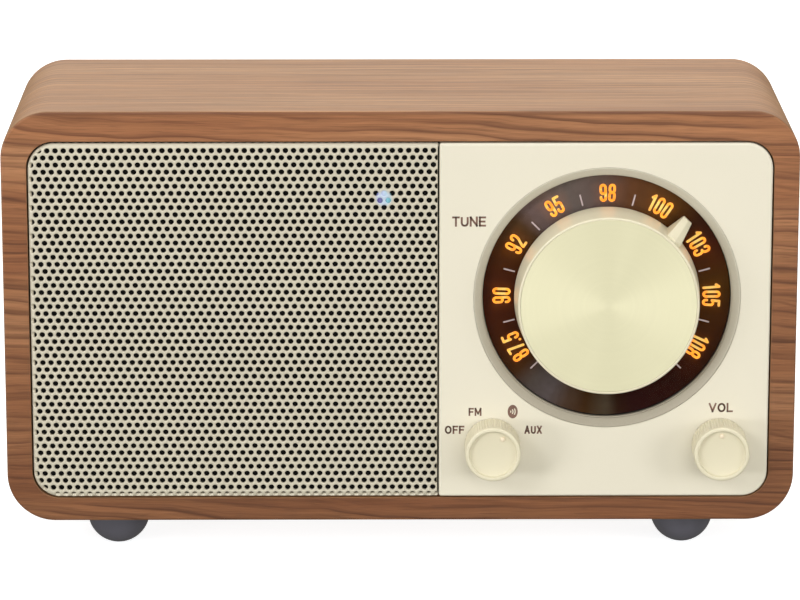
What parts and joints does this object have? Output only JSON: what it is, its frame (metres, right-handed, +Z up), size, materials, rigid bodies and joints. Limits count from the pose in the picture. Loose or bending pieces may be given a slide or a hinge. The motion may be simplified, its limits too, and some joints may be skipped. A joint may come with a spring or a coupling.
{
  "type": "tabletop radio",
  "caption": "Compact tabletop radio: rounded wooden case, perforated speaker grille, control panel with a large lit tuning dial, mode and volume knobs, ball-shaped rubber feet.",
  "frame": {"origin": "middle of the footprint on the surface that the feet stand on", "axes": "+X to the right of the front, +Y from the front to the back, +Z up"},
  "size_m": [0.153, 0.0616, 0.0893],
  "materials": {
    "walnut": "oiled, satin",
    "cream_plastic": "satin moulded",
    "cream_metal": "painted perforated sheet",
    "bezel_plastic": "satin painted",
    "spun_metal": "spun, champagne anodised",
    "dial_print": "printed dark brown",
    "clear_plastic": "clear",
    "diffuser": "milky",
    "led_lens": "clear, lit",
    "black_plastic": "fine texture",
    "cloth": "acoustic cloth",
    "foam": "closed foam",
    "cone_paper": "pressed pulp",
    "rubber": "matt",
    "steel": "zinc plated",
    "ferrite": "sintered",
    "copper": "enamelled winding",
    "spider_cloth": "resin-treated",
    "circuit_board": "solder mask",
    "cell_sleeve": "shrink sleeve",
    "insulation": "insulated wire"
  },
  "bodies": {
    "cabinet": {"antenna_wire": "insulation", "aux_socket": "black_plastic", "battery_cell": "cell_sleeve", "battery_cradle": "black_plastic", "board_screw_1": "steel", "board_screw_2": "steel", "cabinet_sleeve": "walnut", "case_screw_1": "steel", "case_screw_2": "steel", "case_screw_3": "steel", "case_screw_4": "steel", "control_board": "circuit_board", "control_panel": "cream_plastic", "dial_bezel": "bezel_plastic", "dial_light_guide": "diffuser", "dial_plate": "dial_print", "dial_window": "clear_plastic", "filter_capacitor": "black_plastic", "foot_front_left": "rubber", "foot_front_right": "rubber", "foot_rear_left": "rubber", "foot_rear_right": "rubber", "front_baffle": "black_plastic", "grille_cloth": "cloth", "main_board": "circuit_board", "mode_nut": "steel", "mode_switch": "black_plastic", "radio_module": "steel", "rear_cover": "black_plastic", "ribbon_cable": "insulation", "speaker_frame": "black_plastic", "speaker_gasket": "foam", "speaker_grille": "cream_metal", "speaker_lead": "insulation", "speaker_magnet": "ferrite", "speaker_screw_1": "steel", "speaker_screw_2": "steel", "speaker_screw_3": "steel", "speaker_screw_4": "steel", "speaker_spider": "spider_cloth", "speaker_surround": "rubber", "speaker_top_plate": "steel", "speaker_yoke": "steel", "status_lamp_board": "circuit_board", "status_lens": "led_lens", "tuning_potentiometer": "black_plastic", "usb_power_socket": "steel", "volume_nut": "steel", "volume_potentiometer": "black_plastic"},
    "tuning": {"tuning_knob": "cream_plastic", "tuning_knob_cap": "spun_metal", "tuning_pointer": "cream_plastic", "tuning_shaft": "steel"},
    "mode": {"mode_knob": "cream_plastic", "mode_shaft": "steel"},
    "volume": {"volume_knob": "cream_plastic", "volume_shaft": "steel"},
    "cone": {"speaker_cone": "cone_paper", "speaker_dust_cap": "cone_paper", "speaker_voice_coil": "copper"}
  },
  "joints": [
    {"name": "tuning_turn", "type": "hinge", "parent": "cabinet", "child": "tuning", "pos_m": [0.0398, -0.024, 0.0526], "axis": [0, 1, 0], "range_deg": [-180, 90]},
    {"name": "mode_turn", "type": "hinge", "parent": "cabinet", "child": "mode", "pos_m": [0.0178, -0.024, 0.02335], "axis": [0, 1, 0], "range_deg": [-100, 50]},
    {"name": "volume_turn", "type": "hinge", "parent": "cabinet", "child": "volume", "pos_m": [0.0619, -0.024, 0.02335], "axis": [0, 1, 0], "range_deg": [-150, 150]},
    {"name": "cone_stroke", "type": "slide", "parent": "cabinet", "child": "cone", "axis": [0, 1, 0], "range_m": [-0.0015, 0.0015], "stiffness_N_per_m": 900}
  ]
}
